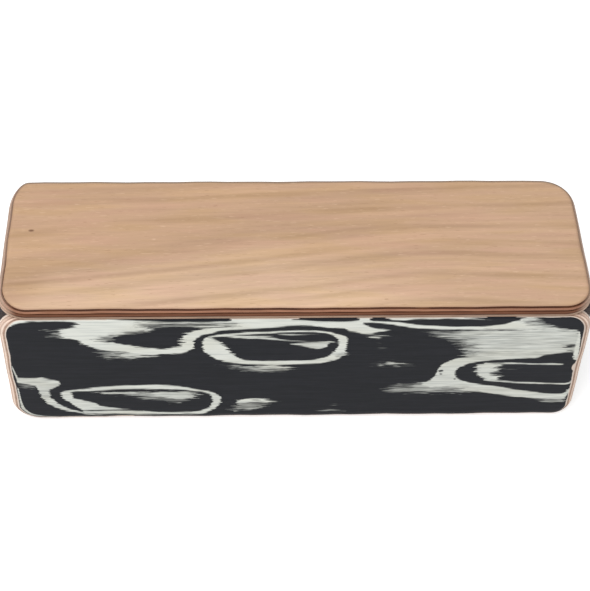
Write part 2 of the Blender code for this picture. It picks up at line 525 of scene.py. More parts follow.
# Marbled figure: streaks laid one over another. Each has a tone, from 0 for black to 1 for white,
# a fray, which says how far its edges comb out along the grain, and stations in mm: place along the
# panel from its middle, and low edge and high edge above its foot.
CLEAN = 0.1
FINE = 0.5
COMBED = 1.2
LOOSE = 2.4
FIGURE = (
    # broad sweep at the top left, hooked round an almond
    (1.0, COMBED, ((-79.6, 48.6, 50.4), (-79, 46.9, 51.7), (-77, 46.2, 52.5), (-75, 45.6, 53.4),
        (-73.4, 44.5, 54.4), (-73, 44.2, 57), (-70, 41.8, 58), (-65, 39.6, 58), (-60, 38.4, 58),
        (-55, 37.4, 58), (-50, 37, 58), (-46, 37.6, 58), (-42, 38, 58), (-40, 38.4, 58))),
    (1.0, FINE, ((-43, 38, 58), (-38, 38.8, 58), (-36.2, 40, 58), (-35, 42, 58), (-34.8, 44.6, 58),
        (-33.6, 46.7, 58), (-32, 47.9, 58), (-30, 48.9, 58))),
    (1.0, FINE, ((-31, 48.4, 58), (-25, 50.2, 58), (-20, 50.8, 58), (-10, 51.8, 58), (-5, 52.4, 58),
        (0, 52.9, 58), (5, 52.8, 58), (10, 51.9, 58), (16.3, 51.3, 58), (16.6, 50.4, 58), (20, 49.3, 58),
        (21.6, 48.7, 58), (22, 48.6, 54.2), (23, 48.4, 53.3), (25, 48.6, 52.1), (27, 49.1, 51.5),
        (30, 49.7, 50.9), (31.4, 50.3, 50.5))),
    (0.85, COMBED, ((-86, 51.2, 51.5), (-82, 50.9, 51.8), (-78, 50.6, 52.6))),
    (0.95, COMBED, ((-85.5, 49.3, 49.6), (-82, 49.1, 49.9), (-78, 48.9, 50.2))),
    (0.95, COMBED, ((-84.5, 47.7, 48), (-81, 47.4, 48.3), (-78, 47, 48.4))),
    (0.45, LOOSE, ((-68.5, 38.6, 39.8), (-65, 36.8, 40), (-61, 36, 39.6), (-56, 35.6, 38.6),
        (-52, 36.4, 38))),
    (0.9, LOOSE, ((-61, 37.2, 39.4), (-57, 35.9, 38.8), (-52, 36.6, 38))),
    (0.85, LOOSE, ((-66, 35.7, 36.3), (-63, 35.2, 36.8), (-58, 35, 36.8), (-54, 35.4, 37.2),
        (-49, 36.9, 37.4))),
    (1.0, FINE, ((-99, 50.4, 58), (-97.6, 51.4, 58), (-96, 53, 58), (-94, 54.4, 58), (-91, 55.3, 58),
        (-86, 55.7, 58), (-79, 55.7, 58), (-75.4, 55.3, 58), (-73.6, 54.6, 58), (-71, 52, 58))),
    # almond
    (0.55, LOOSE, ((-68, 45.4, 46.6), (-64, 44.4, 48.6), (-60, 43.6, 50), (-55, 46, 50.8),
        (-50, 48, 51.6))),
    (0.0, COMBED, ((-63.6, 45.2, 45.8), (-62, 44.4, 46.8), (-60, 43.5, 48.4), (-55, 42, 49.4),
        (-50, 40.9, 50.4), (-47, 40.6, 52.2), (-45, 40.7, 53), (-43, 41.2, 53.4), (-41, 41.9, 53.6),
        (-39.3, 43.2, 53.7), (-38.8, 46.5, 53.7), (-38, 48.7, 53.6), (-36, 50, 53.4), (-33, 51.1, 53),
        (-30, 51.8, 52.7), (-26, 52.2, 52.3))),
    (0.72, LOOSE, ((-54, 51.6, 55.2), (-48, 52.4, 55.8), (-40, 53, 56), (-32, 52.6, 56),
        (-25, 52.4, 55.4), (-20, 53, 54.6))),
    (0.42, LOOSE, ((-51, 51, 53.6), (-46, 52.6, 54.6), (-40, 53, 54.9), (-34, 52.7, 54.7),
        (-28, 52.4, 54), (-23, 52.6, 53.2))),
    (0.0, CLEAN, ((-70, 57.2, 58), (-60, 56.4, 58), (-50, 55.9, 58), (-40, 55.4, 58), (-24, 55.5, 58),
        (-22, 55.9, 58))),
    # band to the right of the sweep
    (1.0, FINE, ((18, 54, 58), (24.1, 54.3, 58), (24.6, 54.3, 55.9), (27, 54, 55.4), (30, 53.6, 55.2),
        (35, 52.4, 54.7), (40, 51.4, 53.9), (45, 50.9, 53.1), (50, 50.5, 52.7), (60, 50.3, 52.6),
        (66, 50.3, 53.1), (70, 50.3, 54), (73, 50.3, 55.4), (76, 50.3, 57), (79, 50.3, 57.6),
        (84, 50.3, 56.4), (88, 50.2, 53.6), (92, 49.9, 51.4), (95, 49.6, 50.2))),
    (0.85, COMBED, ((21.5, 48.2, 48.7), (23.5, 47.7, 49), (26.4, 47.9, 48.7), (27.4, 48.1, 48.4))),
    (0.75, COMBED, ((24, 46.5, 46.9), (25.6, 46, 47.2), (28, 45.7, 46.6), (29, 46, 46.3))),
    (0.8, COMBED, ((25, 47.2, 47.7), (27.5, 46.9, 48), (29.6, 47.1, 47.8), (31.2, 47.3, 47.6))),
    (0.5, COMBED, ((27.2, 48.4, 48.8), (28.6, 48.2, 49), (30, 48.3, 48.6))),
    (0.02, CLEAN, ((24, 55.8, 58), (25.5, 55.3, 58), (28, 55.2, 58), (31, 56.2, 58))),
    (0.0, CLEAN, ((-2, 56, 56.2), (3, 55.7, 58), (10, 55.4, 58), (17, 55.3, 58), (20.8, 55.7, 58))),
    # ring in the middle
    (1.0, FINE, ((-32.2, 42.6, 44.4), (-31.8, 40.8, 45.8), (-31, 38.6, 46.7), (-30, 37, 47.3),
        (-28.5, 35.6, 47.7), (-26, 34, 48.4), (-24, 33.2, 48.9), (-20, 32.2, 49.5), (-15, 31.7, 49.9),
        (-10, 31.5, 50.2), (-5, 31.5, 50.5), (0, 31.6, 50.8), (5, 31.9, 50.8), (8, 32.3, 50.5),
        (10, 32.8, 50.1), (12, 33.5, 49.5), (14, 34.3, 48.7), (15.5, 35.4, 47.8), (16.6, 37.2, 46.9),
        (17.2, 41, 46), (17.4, 43.6, 45))),
    (0.8, COMBED, ((13.5, 34.6, 37), (15.5, 35.2, 38.6), (17, 36.2, 38.3), (17.8, 37, 37.5))),
    (0.0, COMBED, ((-28.4, 46.2, 47), (-26.6, 44.8, 47.4), (-25.2, 43.4, 47.6), (-24.2, 41.4, 47.6),
        (-23.2, 39.4, 47.6), (-21.8, 37.8, 47.4), (-20.6, 36.6, 47), (-18, 36, 46.6))),
    (0.0, FINE, ((-28.7, 46.8, 47.2), (-28, 46.4, 47.4), (-26.5, 46, 47.6), (-25.2, 45.4, 47.7),
        (-24, 44, 47.8), (-22.6, 41, 48), (-21.4, 38.6, 48.2), (-20.6, 36.8, 48.3), (-19.6, 35.3, 48.4),
        (-15, 34.2, 48.8), (-10, 33.9, 49.1), (-5, 33.8, 49.5), (0, 33.7, 49.8), (5, 34, 49.8),
        (8, 34.8, 49.5), (10, 35.6, 49), (11.5, 36.8, 48.2), (12.8, 38.6, 47.3), (13.8, 40.6, 46),
        (14.4, 42.6, 44.6))),
    (1.0, FINE, ((-30, 46.9, 47.8), (-26, 47.2, 48.5), (-23, 46.9, 48.5), (-20, 46.6, 48.2),
        (-17, 46.6, 48), (-13, 46.7, 48), (-9.5, 47, 47.9), (-8, 47.4, 47.7))),
    (0.95, FINE, ((-21, 46.7, 47.6), (-15, 46.1, 47.2), (-10, 45.6, 46.9), (-7, 45.2, 46.6),
        (-5, 44.9, 45.9), (0, 44.6, 45.2), (5, 44.3, 44.8), (8, 44.2, 44.7), (11, 44.1, 44.6),
        (14.4, 43.4, 43.9))),
    (0.25, COMBED, ((-15.5, 48, 48.3), (-12, 47.7, 48.3), (-10, 47.9, 48.2))),
    (0.9, FINE, ((-6.4, 48.2, 48.6), (-4, 48, 48.8), (3, 48.1, 48.8), (7.4, 48.3, 48.6))),
    (0.9, FINE, ((-2, 42.9, 43.6), (1, 42.2, 44), (3, 41.5, 44.2), (5, 40.7, 44.3), (7, 40.3, 44.3),
        (8.6, 40.6, 44.3), (10, 41.6, 44.5), (10.8, 42.8, 44.8), (11.6, 43.6, 44.9), (13, 43.5, 44.3))),
    (0.5, LOOSE, ((-25, 31.2, 31.8), (-21, 29.6, 31.5), (-16, 28, 31.2), (-11, 27.2, 31), (-6, 27.4, 31),
        (-1, 29.4, 30.8))),
    (0.9, LOOSE, ((-22, 30.4, 31.3), (-17, 29.4, 31.1), (-12, 28.6, 31), (-7, 28.8, 31), (-3, 30, 30.8))),
    # pale strip under the top, over the band
    (0.95, CLEAN, ((30, 56.2, 58), (32, 55.5, 58), (36, 55.3, 58), (42, 55.4, 58), (50, 55.6, 58),
        (63, 55.4, 58))),
    # flecks right of the ring
    (0.25, COMBED, ((27.6, 40.4, 41), (29.4, 40.1, 42.2), (31, 40.6, 41.6))),
    (0.15, COMBED, ((26.6, 43.1, 43.4), (27.4, 43, 43.9), (28.6, 43.3, 43.6))),
    (0.18, LOOSE, ((26, 30.4, 31.2), (29, 30.1, 33), (32, 30, 34), (35, 30.2, 33.6), (39.4, 30.4, 32.4))),
    (0.8, COMBED, ((28, 30.5, 31.4), (29.6, 30.3, 32.2), (30.4, 30.5, 31.2))),
    (0.8, COMBED, ((30.4, 31.8, 32.6), (31.8, 31.2, 33.4), (33.2, 31.2, 33), (35, 31.6, 32.4),
        (38, 31.8, 32.3))),
    (0.65, COMBED, ((33.6, 30.4, 31), (35, 30.2, 31.4), (36.6, 30.4, 30.9))),
    # broad field at the right, greyer to its left
    (0.4, LOOSE, ((43, 49.4, 50.2), (47, 46.6, 50.3), (51, 44.4, 50.3), (54.5, 43.2, 50.4),
        (56.4, 40.4, 50.4), (57.6, 37.4, 50.4), (58.6, 35, 50.4), (66, 33, 50.4))),
    (0.7, LOOSE, ((47, 48.4, 50.2), (51, 46.6, 50.3), (55, 45, 50.4), (57.6, 42, 50.4),
        (58.8, 38.6, 50.4), (60, 35, 50.4), (70, 33, 50.4))),
    (0.84, LOOSE, ((54, 48, 50), (58, 45.6, 50.4), (60.4, 42, 50.6), (61.8, 37.6, 50.6), (63, 34, 50.6),
        (80, 33, 50.8))),
    (0.89, LOOSE, ((62, 44, 47), (66, 36, 50.2), (70, 33, 50.6), (80, 33, 50.8), (90, 33, 50.8),
        (96, 33, 50.2), (98, 33, 48))),
    (0.1, FINE, ((42, 50.2, 50.6), (46, 50, 50.6), (58, 50, 50.5), (66, 50.1, 50.45), (74, 50.3, 50.4))),
    (0.02, FINE, ((35.2, 55, 55.3), (38, 54.2, 56.1), (42, 53.5, 56.3), (46, 53, 56.4), (50, 52.7, 56.4),
        (55, 52.5, 56.3), (60, 52.4, 56.2), (64, 52.6, 55.9), (67, 53.1, 55.7), (69.5, 53.8, 55.6),
        (71.8, 54.5, 54.9))),
    (0.02, FINE, ((56, 56.4, 56.8), (62, 56, 58), (68, 55.5, 58), (72, 55.2, 57), (75, 55.4, 56))),
    (0.45, COMBED, ((60.4, 55.8, 56.1), (63, 55.4, 56.1), (66, 55.1, 55.7), (67.6, 55.1, 55.3))),
    # dark corner at the top right, which runs down the edge as a sliver
    (0.75, LOOSE, ((76, 54, 56.6), (79, 52.6, 57.4), (83, 51.4, 58), (87, 50.8, 58), (91, 50.4, 58))),
    (0.45, LOOSE, ((79.6, 55, 57.6), (82, 53.4, 58), (85, 51.8, 58), (89, 50.8, 58), (92, 50.4, 58))),
    (0.0, COMBED, ((79, 57, 58), (81, 56.2, 58), (83, 55, 58), (84.4, 53.4, 58), (86.4, 52.2, 58),
        (88.4, 51.3, 58), (91, 50.5, 58), (95, 49.9, 58), (96.2, 49.2, 58))),
    (0.06, COMBED, ((91.8, 40.9, 41.3), (93.2, 40.3, 42), (95.4, 40.3, 42.2), (96, 40.8, 41.6))),
    (0.3, COMBED, ((90.6, 41.9, 42.1), (92.6, 41.7, 42.2), (93.6, 41.9, 42.1))),
    (0.4, COMBED, ((92.4, 38.5, 38.9), (94, 38.3, 39), (95.6, 38.5, 38.9))),
    (1.0, CLEAN, ((95.5, 38, 49), (96, 34.6, 49.4), (96.6, 33.6, 48), (97.2, 33.4, 43),
        (97.8, 33.6, 37))),
    (0.0, CLEAN, ((95.7, 49.6, 58), (96.3, 48, 57), (96.8, 45.2, 56), (97.2, 41.2, 55), (97.6, 36.4, 54),
        (99, 33.6, 53))),
    # open ring under the field
    (0.35, LOOSE, ((30.6, 16.2, 17.2), (32.6, 15.2, 18.6), (36, 14.6, 20), (40, 14.4, 20.6),
        (46, 14.2, 21.8), (52, 14.4, 22))),
    (0.58, LOOSE, ((33, 15.8, 17.4), (36, 15.2, 19), (40, 14.9, 19.6), (46, 14.8, 21), (50, 15, 22))),
    (0.75, LOOSE, ((40, 15.4, 18.4), (44, 15, 20.4), (48, 14.9, 21.6), (52, 15, 22), (58, 15, 22))),
    (0.95, FINE, ((44.6, 19, 20.6), (46.4, 18.6, 21.8), (47.6, 18, 23), (48.7, 17.4, 25), (49.3, 17, 28),
        (50, 16.6, 30.3), (51, 16.4, 31.8), (52.5, 16.3, 33.1), (55, 16, 34.7), (58, 15.6, 35.6),
        (62, 15.3, 36), (66, 14.9, 36), (70, 13.9, 36), (73, 13.1, 36), (78, 12.2, 36), (84, 11.2, 36),
        (88, 10.6, 36), (91, 10.2, 36), (95, 10, 36), (96.3, 10.6, 36), (97, 13, 36), (98.5, 15.4, 36))),
    (0.6, COMBED, ((84, 10.8, 11.4), (88, 9.4, 11), (91, 8.5, 10.8), (95, 8.3, 10.6), (96.2, 9, 11),
        (96.8, 11, 13))),
    (0.6, LOOSE, ((49, 16.2, 17.4), (53, 15.2, 18.6), (57, 15, 18.2), (61, 15.2, 17), (65, 15, 15.6))),
    (0.12, CLEAN, ((49.6, 27.3, 27.7), (50.2, 26.8, 28.1), (50.9, 27, 28.2), (51.5, 27.4, 27.8))),
    (0.3, CLEAN, ((50.2, 25.7, 26.1), (50.8, 25.4, 26.3), (51.3, 25.7, 26))),
    (0.4, CLEAN, ((55.4, 22.7, 23), (55.9, 22.4, 23.3), (56.4, 22.7, 23))),
    (0.0, FINE, ((55.6, 26, 27.2), (56, 24.5, 28.4), (57, 23, 29.8), (58.5, 21.8, 31.1), (60, 21.1, 32),
        (62, 20.5, 32.7), (65, 19.7, 33.3), (70, 18.5, 33.9), (75, 17.2, 34.3), (80, 16, 34.8),
        (84, 15.2, 35.2), (85.6, 14.9, 36.2), (88, 14.4, 36.8), (91, 14, 37.5), (94, 13.8, 37.9),
        (95.6, 13.9, 38), (96, 14.3, 34.6), (97.2, 16.4, 33.4), (98.5, 18, 33.2))),
    (0.95, COMBED, ((62.6, 29.6, 31), (63, 27.4, 31.4), (64, 24.6, 31.6), (65, 23.2, 31.8),
        (67, 22.3, 32), (69, 22, 32), (70.4, 21.8, 32), (71.6, 22.4, 31.6))),
    (0.0, COMBED, ((68.2, 25.8, 26.6), (69.6, 24.8, 27.2), (71, 24.4, 27.5), (74, 23.8, 27.6))),
    (0.05, COMBED, ((69.4, 28.6, 29.4), (70.6, 28.3, 31), (72.6, 28.2, 31.2))),
    (0.35, COMBED, ((71.5, 28.3, 28.8), (74, 28.1, 29), (77.4, 28.2, 28.7))),
    (0.95, FINE, ((65, 31, 32.2), (70, 31.2, 32.3), (80, 31, 32.2), (88, 30.7, 31.9), (93, 30.6, 31.4))),
    (0.95, FINE, ((66, 22, 23.2), (70, 21.2, 22.5), (74, 20.6, 21.9), (80, 20, 21.4), (88, 19.4, 20.9),
        (95, 19.1, 20.6), (96.4, 19.4, 21), (98.5, 20.9, 22.8))),
    # streak that comes in at the left edge and runs down round the oval
    (0.45, LOOSE, ((-97.4, 20.6, 23), (-95, 19.6, 22.8), (-92, 18.9, 22.4), (-90.4, 18.4, 22))),
    (0.9, FINE, ((-99, 22.4, 27.5), (-97, 22.3, 25.6), (-95, 21.5, 25.3), (-92, 20.6, 25.1),
        (-90.3, 19.6, 25), (-89.7, 15.5, 25), (-89, 13, 25.2), (-88, 10.9, 25.3), (-87, 9.4, 25),
        (-86, 8.3, 24.7), (-85, 7.5, 24.4), (-84, 6.8, 24), (-83, 6.2, 23.3), (-82.1, 5.8, 22),
        (-81.8, 5.6, 9), (-79, 4.6, 6.8), (-77, 3.9, 5.6), (-75, 3.2, 4.6), (-73, 2.9, 3.9),
        (-70, 2.6, 3.4), (-60, 2.4, 3), (-45, 2.3, 2.8), (-34, 2.4, 2.6))),
    (0.0, CLEAN, ((-99, 17, 30), (-97.6, 17, 28.6), (-97, 18, 25.4), (-96.6, 19, 23))),
    (0.9, CLEAN, ((-97.8, 30, 32.2), (-97.3, 27.6, 31.2), (-96.9, 25.4, 28.8), (-96.2, 24.4, 26))),
    # pale line round the lower left corner
    (0.9, CLEAN, ((-97.4, 9.6, 17.2), (-97.1, 7.8, 19), (-96.8, 6.6, 19.4), (-96.5, 6, 12.4),
        (-96, 5.2, 8.8), (-94.9, 3.9, 5.8), (-93.2, 2.8, 4.1), (-91, 2.2, 3.2), (-88, 1.8, 2.6),
        (-84, 1.6, 2.1))),
    (0.0, FINE, ((-86.4, 15, 16.5), (-86, 13.4, 17.8), (-85, 11.7, 18.7), (-83.6, 9.8, 19.6),
        (-82.4, 8.5, 21.2), (-82, 8.1, 23), (-80, 6.4, 23), (-77, 5.1, 23), (-74, 4.4, 23))),
    # oval at the lower left
    (0.95, FINE, ((-82.5, 14.4, 16.2), (-82, 13.2, 16.8), (-81, 11.8, 17.4), (-79.5, 9.9, 17.8),
        (-77, 7.2, 18.2), (-75.4, 5.4, 18.6), (-74.6, 3.8, 18.7), (-70, 3.4, 19.7), (-65, 3.2, 20.2),
        (-60, 3.1, 20.6), (-55, 3, 20.8), (-50, 2.9, 20.9), (-45, 2.8, 20.6), (-40, 2.8, 19.7),
        (-36, 2.8, 18.3), (-33, 3, 17.6), (-30, 4.8, 16.7), (-28, 6.8, 15.5), (-26.7, 9, 13.8),
        (-26, 10.8, 12.4))),
    (0.0, FINE, ((-78.6, 14.2, 16.1), (-78, 13, 16.8), (-75, 11.6, 17.1), (-72, 10.5, 17.3),
        (-70.5, 9.7, 17.5), (-69, 8.3, 17.7), (-66, 7.5, 18), (-60, 6.4, 18.3), (-55, 5.4, 18.3),
        (-50, 4.6, 18.3), (-45, 4.3, 18.1), (-40, 4.2, 17.7), (-35.5, 4.4, 16.9), (-33, 5.3, 16.4),
        (-31, 6.6, 15.6), (-30, 7.9, 14.9), (-29.4, 9.3, 13.9), (-29.1, 10.8, 11.9))),
    (0.1, FINE, ((-77.5, 5.2, 5.7), (-72, 5.2, 5.9), (-66, 5.3, 6.1), (-60, 5.2, 6.3), (-54, 5, 5.8))),
    (0.5, LOOSE, ((-70.5, 16.3, 16.9), (-65, 15.2, 16.8), (-60, 13.8, 16.7), (-55, 12.6, 16.6),
        (-50, 11.6, 16.5), (-45, 10.4, 16.6), (-41.5, 9.4, 16.7), (-38, 10.6, 16.6), (-36, 12.4, 16.2),
        (-34.5, 14.2, 15.8))),
    (0.9, LOOSE, ((-70, 16.4, 16.9), (-60, 14.9, 16.7), (-52, 14.2, 16.4), (-46, 13, 16.5),
        (-41, 11.8, 16.7), (-37, 12.6, 16.3), (-35, 14.2, 15.8))),
    # flecks along the foot
    (0.6, LOOSE, ((-22, 4.5, 5.8), (-20.5, 4.8, 8.6), (-18, 5, 9.9), (-15, 5.3, 9.8), (-12, 6.8, 9.6),
        (-9, 8.2, 9.2))),
    (1.0, COMBED, ((-21, 9.4, 10.2), (-19, 9.2, 11.8), (-17, 9.3, 12.6), (-13, 9.5, 12.8),
        (-10.5, 9.5, 12.3), (-9, 9.8, 11.4), (-7.5, 10.2, 11), (-5, 10.5, 10.8))),
    (0.4, COMBED, ((-15, 11, 11.3), (-13, 10.8, 11.6), (-11.5, 11, 11.3))),
    (0.6, COMBED, ((8, 4.1, 4.6), (11, 4, 5.4), (14, 4.1, 5.7), (18, 4.4, 5))),
    (0.2, COMBED, ((12.4, 7.4, 7.9), (14, 7.4, 8.8), (15.8, 8.1, 8.6))),
)


def lay_streak(paint, under, streak, places, fuzz, height):
    """Tone after one streak is laid over the tone under it."""
    tone, fray, stations = streak
    first = stations[0][0]
    last = stations[-1][0]
    reach = last - first
    share = paint.math("MULTIPLY_ADD", places[fray], 1 / reach, -first / reach)
    low = paint.curve(share, [((x - first) / reach, edge / FIGURE_HEIGHT) for x, edge, _ in stations])
    high = paint.curve(share, [((x - first) / reach, edge / FIGURE_HEIGHT) for x, _, edge in stations])
    above = paint.math("SUBTRACT", height, low)
    below = paint.math("SUBTRACT", high, height)
    across = paint.math("MULTIPLY", paint.math("MINIMUM", above, below), FIGURE_HEIGHT)
    off_middle = paint.apart(places[fray], (first + last) / 2)
    from_end = paint.math("SUBTRACT", reach / 2, off_middle)
    inside = paint.math("ADD", paint.math("MINIMUM", across, from_end), fuzz[fray])
    softness = EDGE_SOFTNESS + fray * FRAY_SOFTNESS
    cover = paint.step(inside, -EDGE_OUTSIDE * softness, (1 - EDGE_OUTSIDE) * softness)
    return paint.blend(cover, under, tone)


def figure_tone(paint, along, upright, fibre, lint):
    """Tone of the figure, from 0 for black to 1 for white, with the greys combed along the grain."""
    wave = paint.swing(paint.grain((14, 5, 5), 1, shift=17))
    comb = paint.swing(paint.grain((8, 0.5, 0.5), 2, shift=63))
    risen = paint.math("MULTIPLY_ADD", upright, FIGURE_STRETCH, FIGURE_RISE)
    tilted = paint.math("MULTIPLY_ADD", along, FIGURE_TILT, risen)
    waved = paint.math("MULTIPLY_ADD", wave, EDGE_WAVE, tilted)
    height = paint.math("DIVIDE", waved, FIGURE_HEIGHT)
    places = {}
    fuzz = {}
    for fray in (CLEAN, FINE, COMBED, LOOSE):
        places[fray] = paint.math("MULTIPLY_ADD", fibre, fray * FRAY_REACH, along)
        fuzz[fray] = paint.math("MULTIPLY", lint, fray * FRAY_FUZZ)
    tone = 0.0
    for streak in FIGURE:
        tone = lay_streak(paint, tone, streak, places, fuzz, height)
    between = paint.math("MULTIPLY", tone, paint.math("SUBTRACT", 1.0, tone))
    combing = paint.math("MULTIPLY", between, paint.math("MULTIPLY", comb, COMB_STRENGTH))
    return paint.math("ADD", tone, combing, clamp=True)


def outside(paint, along, stretches):
    """0 in the given stretches along a panel, and 1 elsewhere."""
    share = 1.0
    for first, last in stretches:
        half = (last - first) / 2
        off_middle = paint.apart(along, (first + last) / 2)
        share = paint.math("MINIMUM", share, paint.step(off_middle, half - DYE_FADE, half))
    return share


def worn_through(paint, along, face, thickness, dyed_head, dyed_foot, chips):
    """1 where undyed wood shows, at the edges and in the chips, and 0 elsewhere."""
    low_down = paint.math("LESS_THAN", paint.z, FIGURE_HEIGHT / 2)
    undyed = paint.blend(low_down, outside(paint, along, dyed_head), outside(paint, along, dyed_foot))
    depth = paint.apart(paint.y, face / MM)
    ragged = paint.swing(paint.grain((3, 3, 3), 2, shift=51))
    worn = paint.math("MULTIPLY_ADD", ragged, WEAR_RAGGEDNESS, paint.math("DIVIDE", depth, thickness / MM))
    bare = paint.math("MULTIPLY", paint.step(worn, *WEAR_RANGE), undyed)
    for place, reach in chips:
        chipped = paint.step(paint.away(paint.x, paint.z, place, reach), 0.75, 1, 1, 0)
        bare = paint.math("MAXIMUM", bare, chipped)
    return bare


def marbled_veneer(name, face, thickness, turned_at, dyed_head, dyed_foot, chips):
    """Black and white veneer with a flowing figure, upright, or turned over at a height.

    face is the Y of its outer side.
    """
    paint = Paint(name, roughness=0.5, specular=0.15)
    along = paint.math("MULTIPLY_ADD", paint.x, FIGURE_SPREAD, FIGURE_SHIFT)
    upright = paint.z if turned_at is None else paint.math("SUBTRACT", turned_at / MM, paint.z)
    fibre = paint.swing(paint.grain((7, 0.6, 0.6), 3, 0.7))
    lint = paint.swing(paint.grain((5, 0.45, 0.45), 2, shift=40))
    streaky = paint.grain((16, 0.8, 0.8), 3, shift=3)
    cloud = paint.grain((24, 7, 7), 1, shift=22)
    white = paint.mix(paint.step(streaky, 0.42, 0.72, 0, 0.7), WHITE, GREY_WHITE)
    warm = paint.mix(paint.step(cloud, 0.45, 0.7, 0, 0.4), white, WARM_WHITE)
    black = paint.mix(paint.step(streaky, 0.35, 0.7), BLACK, PALER_BLACK)
    tone = figure_tone(paint, along, upright, fibre, lint)
    dyed = paint.mix(paint.math("POWER", tone, DYE_POWER), black, warm)
    bare = worn_through(paint, along, face, thickness, dyed_head, dyed_foot, chips)
    paint.bump(lint, 0.2, 0.03 * MM)
    return paint.finish(paint.mix(bare, dyed, BARE_VENEER), paint.step(fibre, -0.25, 0.25, 0.46, 0.56))


def arris_inset(depth, radius):
    """How far a rounded arris has drawn an edge in, at a depth under the face."""
    rise = max(radius - depth, 0)
    return radius - math.sqrt(radius ** 2 - rise ** 2)


def ring_depths(start, stop, radius):
    """Depths of the outlines that follow an arris from one face of a layer to the other."""
    first = math.acos(1 - min(start / radius, 1))
    last = math.acos(1 - min(stop / radius, 1))
    steps = max(1, math.ceil((last - first) / ARRIS_STEP))
    inner = [first + (last - first) * step / steps for step in range(1, steps)]
    return [start] + [radius * (1 - math.cos(angle)) for angle in inner] + [stop]


def sanding(share):
    """Unevenness from -2 to 2, at a share of the way round a panel."""
    return sum(math.sin(2 * math.pi * waves * share + waves) for waves in SANDING_WAVES)


class Blank:
    """Outline of a panel: a rectangle with four rounded corners, and four arris radii."""

    def __init__(self, length, width, corners, arrises, stretch=ROUND):
        self.arrises = arrises
        self.stops = []
        self.around = 0
        half = Vector((length / 2, width / 2))
        signs = ((1, 1), (-1, 1), (-1, -1), (1, -1))
        reaches = [Vector((radius, radius * share)) for radius, share in zip(corners, stretch)]
        centres = [Vector(sign) * (half - reach) for sign, reach in zip(signs, reaches)]
        for quarter in range(4):
            self.add_corner(centres[quarter], reaches[quarter], quarter * math.pi / 2)
            turned = (quarter + 1) * math.pi / 2
            outward = Vector((math.cos(turned), math.sin(turned)))
            following = (quarter + 1) % 4
            self.add_run(centres[quarter] + reaches[quarter] * outward,
                         centres[following] + reaches[following] * outward, outward)

    def add_corner(self, centre, reach, start):
        radius = (reach.x + reach.y) / 2
        for step in range(CORNER_SEGMENTS + 1):
            turn = step / CORNER_SEGMENTS * math.pi / 2
            outward = Vector((math.cos(start + turn), math.sin(start + turn)))
            self.stops.append((centre + reach * outward, outward, self.around + radius * turn))
        self.around += radius * math.pi / 2

    def add_run(self, here, there, outward):
        run = (there - here).length
        pieces = math.ceil(run / RUN_STEP)
        for piece in range(1, pieces):
            share = piece / pieces
            self.stops.append((here.lerp(there, share), outward, self.around + run * share))
        self.around += run

    def ring(self, depth, recess=0.0, waver=0.0):
        """Points of the outline at a depth, anticlockwise from above the outer face."""
        right, high, left, low = self.arrises
        points = []
        for point, outward, distance in self.stops:
            end_arris = right if point.x > 0 else left
            side_arris = high if point.y > 0 else low
            uneven = sanding(distance / self.around)
            back = recess + waver * uneven
            inset_x = arris_inset(depth, end_arris * (1 + SANDING_SHARE * uneven)) + back
            inset_y = arris_inset(depth, side_arris * (1 + SANDING_SHARE * uneven)) + back
            points.append((point.x - inset_x * outward.x, point.y - inset_y * outward.y))
        return points

    def layer(self, name, start, stop, recess=0.0, waver=0.0):
        """Closed loft between two depths under the outer face."""
        margin = recess + FLAT_MARGIN
        outlines = [(start, self.ring(start, margin))]
        for depth in ring_depths(start, stop, max(self.arrises)):
            outlines.append((depth, self.ring(depth, recess, waver)))
        outlines.append((stop, self.ring(stop, margin)))
        return loft(name, [[(x, y, -depth) for x, y in points] for depth, points in outlines])


def loft(name, rings):
    """Closed mesh through rings of as many points each, from the outer face inwards."""
    shape = bmesh.new()
    loops = [[shape.verts.new(point) for point in points] for points in rings]
    count = len(loops[0])
    for upper, lower in zip(loops, loops[1:]):
        for here in range(count):
            there = (here + 1) % count
            shape.faces.new((upper[here], lower[here], lower[there], upper[there]))
    shape.faces.new(loops[0])
    shape.faces.new(list(reversed(loops[-1])))
    mesh = bpy.data.meshes.new(name)
    shape.to_mesh(mesh)
    shape.free()
    mesh.shade_smooth()
    mesh.set_sharp_from_angle(angle=SHARP_ANGLE)
    return mesh


def add_piece(name, mesh, material):
    """A new piece of one material that rides on the box."""
    mesh.materials.append(material)
    piece = bpy.data.objects.new(name, mesh)
    bpy.context.scene.collection.objects.link(piece)
    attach(piece, BODY)
    return piece


def depth_range(node, place):
    """Depths of a node's outer and inner face under the outer face of its panel."""
    inward = place.inverted()
    depths = [-(inward @ corner).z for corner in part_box(node)]
    return max(min(depths), 0), max(depths)


def make_panel(name, blank, place, finishes, film):
    """A panel's four layers, with a glue film between each two."""
    last = None
    for layer in LAYERS:
        node = name + "_" + layer
        start, stop = depth_range(node, place)
        if last is not None:
            start += FILM_SOAK
            film_name = name + "_panel_film_over_" + layer
            mesh = blank.layer(film_name, last + FILM_SLACK, start - FILM_SLACK, FILM_RECESS, FILM_WAVER)
            mesh.transform(place)
            add_piece(film_name, mesh, film)
        if layer != LAYERS[-1]:
            stop -= FILM_SOAK
        mesh = blank.layer(name + "_panel_" + layer, start, stop)
        mesh.transform(place)
        piece = add_piece(name + "_panel_" + layer, mesh, finishes[layer])
        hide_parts(node)
        last = stop


def make_top(finishes, film):
    low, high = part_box("top_inner_ply")
    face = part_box("top_veneer")[1].z
    blank = Blank(high.x - low.x, high.y - low.y, TOP_CORNERS, TOP_ARRISES, TOP_STRETCH)
    make_panel("top", blank, Matrix.Translation((0, 0, face)), finishes, film)


